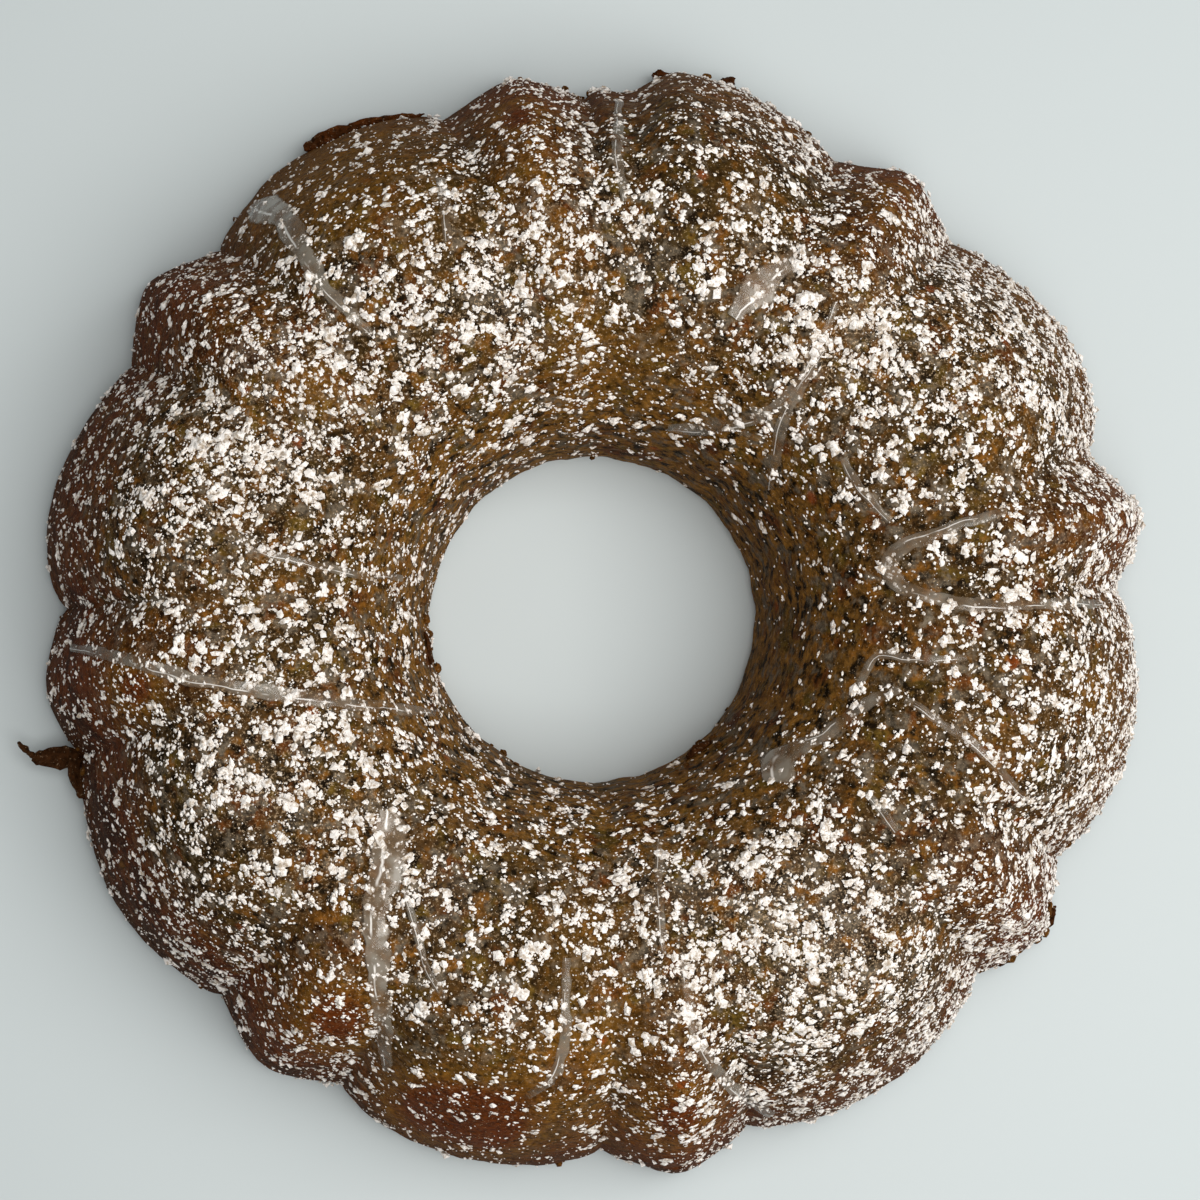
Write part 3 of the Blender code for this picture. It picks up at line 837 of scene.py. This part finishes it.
# Each run's points, as x and y of its middle line and its width there, in millimetres.
GLAZE_RUNS = (
    ((-76, 89.8, 3.5), (-73, 87, 7.5), (-68, 82, 5.5), (-62, 71, 4.2), (-56, 62, 3), (-49, 55, 1.5)),
    ((-35, 88, 2), (-34, 80, 2.2), (-34, 74, 1.2)),
    ((3, 111, 2), (1, 94, 2.4), (2, 83, 1.2)),
    ((24, 59, 3), (28, 64, 6.6), (33, 68, 5), (37, 73, 2.5)),
    ((45, 62, 1.5), (39, 48, 2.2), (35, 38, 2.6), (34, 26, 1.6)),
    ((13, 39, 1.5), (21, 38.5, 2.4), (32, 41, 2.2), (43, 53, 1.5)),
    ((47, 31, 1.6), (50, 25, 2.2), (56, 18, 1.4)),
    ((80, 20, 1.6), (67, 16, 2.6), (58, 12, 3.2), (56, 8, 3.4), (60, 4, 3), (72, 1, 2.8), (86, 1, 2.8),
     (104, 2, 2)),
    ((50, -16, 1.4), (54, -9, 2), (61, -10, 2), (71, -10, 1.2)),
    ((58, -16, 1.6), (52, -19, 2.6), (44, -25, 2.8), (39, -28, 3.4), (35, -31, 6.4), (34.5, -35, 5.6)),
    ((59, -18, 1.4), (71, -26, 2), (83, -37, 2), (88, -39, 1.2)),
    ((51, -37, 1.4), (57, -45, 2)),
    ((10, -47, 1.4), (9, -59, 2), (10, -69, 1.4)),
    ((13, -69, 1.4), (15, -79, 2.4), (17, -87, 2.6), (24, -97, 2.8), (36, -107, 2.4)),
    ((-10, -70, 1.6), (-10, -87, 2.4), (-12, -94, 2.6), (-17, -99, 1.6)),
    ((-45, -41, 6.2), (-46, -52, 7.2), (-48, -62, 5.6), (-47, -79, 4.2), (-46, -95, 2.2)),
    ((-42, -56, 1.4), (-38, -71, 2), (-34, -78, 1.2)),
    ((-113, -7, 2), (-96, -11, 2.8), (-82, -15, 3), (-62, -18, 3), (-36, -21, 2)),
    ((-74, 12, 1.4), (-56, 8, 2), (-43, 7, 1.4)),
)


def glaze_lines():
    """A mesh of open rows of edges, one for each run of glaze, with its width on each point."""
    mesh = bpy.data.meshes.new("glaze_lines")
    points = [point for run in GLAZE_RUNS for point in run]
    edges = []
    first = 0
    for run in GLAZE_RUNS:
        edges += [(n, n + 1) for n in range(first, first + len(run) - 1)]
        first += len(run)
    mesh.from_pydata([(x * MM, y * MM, 0) for x, y, _ in points], edges, [])
    store(mesh, "width", [width * MM for _, _, width in points])
    return mesh


def glaze_tree():
    """Draws each run as a flat rounded strip over the cake, then lets its points down onto the crust."""
    tree, sizes = new_tree("glaze_run", {
        "Cake": bpy.types.Object, "Thickness": float, "Step": float, "Wander": float, "Unevenness": float,
        "Material": bpy.types.Material})
    lines = add(tree, "GeometryNodeMeshToCurve", sizes["Geometry"])
    curved = add(tree, "GeometryNodeCurveSplineType", lines, spline_type="CATMULL_ROM")
    fine = add(tree, "GeometryNodeResampleCurve", curved, mode="LENGTH", inputs={"Length": sizes["Step"]})
    place = add(tree, "GeometryNodeInputPosition")
    drift = add(tree, NOISE, place, 1 / (8 * MM), 2.0, 0.6).outputs["Color"]
    drift = add(tree, VECTOR_MATH, drift, (0.5, 0.5, 0.5), operation="SUBTRACT")
    drift = add(tree, VECTOR_MATH, drift, (2.0, 2.0, 0.0), operation="MULTIPLY")
    drift = add(tree, VECTOR_MATH, drift, inputs={"Scale": sizes["Wander"]}, operation="SCALE")
    wandered = add(tree, "GeometryNodeSetPosition", fine, None, None, drift)
    level = add(tree, "GeometryNodeSetCurveNormal", wandered, mode="Z_UP")
    width = add(tree, "GeometryNodeInputNamedAttribute", "width", data_type="FLOAT")
    swell = add(tree, NOISE, place, 1 / (4 * MM), 2.0, 0.6)
    swell = add(tree, MATH, swell, 0.5, operation="SUBTRACT")
    swell = add(tree, MATH, swell, sizes["Unevenness"], 1.0, operation="MULTIPLY_ADD")
    width = add(tree, MATH, width, swell, operation="MULTIPLY")
    section = add(tree, "GeometryNodeCurvePrimitiveCircle", 10, inputs={"Radius": 0.5})
    aside = add(tree, "ShaderNodeSeparateXYZ", place).outputs["X"]
    section = add(tree, "GeometryNodeStoreNamedAttribute", section, None, "across", aside, data_type="FLOAT")
    strip = add(tree, "GeometryNodeCurveToMesh", level, section, inputs={"Scale": width, "Fill Caps": True})
    # Down onto the cake. A point's height in the strip, as a share of its width, becomes its height off the
    # crust.
    apart = add(tree, "ShaderNodeSeparateXYZ", place)
    above = add(tree, "ShaderNodeCombineXYZ", apart.outputs["X"], apart.outputs["Y"], 1.0)
    cake = add(tree, "GeometryNodeObjectInfo", sizes["Cake"]).outputs["Geometry"]
    hit = add(tree, "GeometryNodeRaycast", cake,
              inputs={"Source Position": above, "Ray Direction": (0.0, 0.0, -1.0), "Ray Length": 2.0})
    share = add(tree, MATH, apart.outputs["Z"], width, operation="DIVIDE")
    height = add(tree, MATH, share, sizes["Thickness"], operation="MULTIPLY")
    lift = add(tree, VECTOR_MATH, hit.outputs["Hit Normal"], inputs={"Scale": height}, operation="SCALE")
    landed = add(tree, VECTOR_MATH, hit.outputs["Hit Position"], lift, operation="ADD")
    laid = add(tree, "GeometryNodeSetPosition", strip, None, landed)
    smooth = add(tree, "GeometryNodeSetShadeSmooth", laid, None, True)
    return end_tree(tree, smooth, sizes["Material"])


def make_glaze(cake, glaze):
    sizes = {"Cake": cake, "Thickness": 0.6 * MM, "Step": 1.0 * MM, "Wander": 1.0 * MM, "Unevenness": 1.6}
    return grown("glaze_runs", glaze_lines(), glaze_tree(), sizes, glaze, ("across", "width"))


# ---- Floor, light and camera ----

FLOOR_REACH = 3.0  # from the middle to each edge, in metres
FLOOR_GAP = 0.1 * MM  # keeps the floor clear of the cake's flat foot
ROOM_COLOUR = (0.95, 0.98, 1.0, 1.0)
ROOM_STRENGTH = 0.22
WINDOW_PLACE = (0.24, -0.05, 0.8)
WINDOW_SIZE = 0.75
WINDOW_WATTS = 8.2
CAMERA_PLACE = (-37.5 * MM, -24 * MM, 0.75)
CAMERA_TARGET = (0.7 * MM, 4.5 * MM, 0.0)
VIEW_REACH = 133.6 * MM  # half the width of floor that the camera sees


def make_floor():
    mesh = bpy.data.meshes.new("pale_floor")
    corners = [(x * FLOOR_REACH, y * FLOOR_REACH, 0) for x, y in ((-1, -1), (1, -1), (1, 1), (-1, 1))]
    mesh.from_pydata(corners, [], [(0, 1, 2, 3)])
    floor = bpy.data.objects.new("pale_floor", mesh)
    floor.location.z = -FLOOR_GAP
    bpy.context.scene.collection.objects.link(floor)
    material, tree = new_material("pale_matt_floor")
    colour = linear("#c8cfce")
    shader = add(tree, "ShaderNodeBsdfPrincipled", inputs={"Base Color": colour, "Roughness": 0.6})
    add(tree, "ShaderNodeOutputMaterial", shader)
    mesh.materials.append(material)


def make_room():
    world = bpy.data.worlds.new("soft_room")
    world.use_nodes = True
    background = world.node_tree.nodes["Background"]
    background.inputs["Color"].default_value = ROOM_COLOUR
    background.inputs["Strength"].default_value = ROOM_STRENGTH
    bpy.context.scene.world = world
    bpy.context.scene.view_settings.view_transform = "Standard"


def aimed(place, target, up):
    """The matrix of a camera or light at place that looks at target, with up towards the top of its view."""
    back = (Vector(place) - Vector(target)).normalized()
    side = Vector(up).cross(back).normalized()
    turn = Matrix((side, back.cross(side), back)).transposed().to_4x4()
    return Matrix.Translation(place) @ turn


def make_window():
    """The soft light of a large window."""
    data = bpy.data.lights.new("window_right", "AREA")
    data.shape = "SQUARE"
    data.size = WINDOW_SIZE
    data.energy = WINDOW_WATTS
    light = bpy.data.objects.new("window_right", data)
    light.matrix_world = aimed(WINDOW_PLACE, (0, 0, 0), (0, 1, 0.01))
    bpy.context.scene.collection.objects.link(light)


def make_camera():
    data = bpy.data.cameras.new("camera")
    camera = bpy.data.objects.new("camera", data)
    camera.matrix_world = aimed(CAMERA_PLACE, CAMERA_TARGET, (0, 1, 0))
    data.angle = 2 * math.atan(VIEW_REACH / CAMERA_PLACE[2])
    data.clip_start = 0.01
    bpy.context.scene.collection.objects.link(camera)
    bpy.context.scene.camera = camera


def main():
    crust = baked_crust()
    cake = make_cake(crust)
    store_dusting(cake.data)
    store_toasting(cake.data)
    store_crumbling(cake.data)
    glaze = make_glaze(cake, sugar_glaze())
    scattered = scatter_tree()
    crumbs = make_crumbs(cake, scattered, crust)
    flakes = make_flakes(cake, crust)
    sugars = make_sugar(dusted_surface((cake, flakes)), scattered, icing_sugar())
    pieces = [cake, glaze, crumbs, flakes, *sugars]
    for piece in pieces:
        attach(piece, "root")
    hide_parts("cake")
    make_floor()
    make_room()
    make_window()
    make_camera()


main()
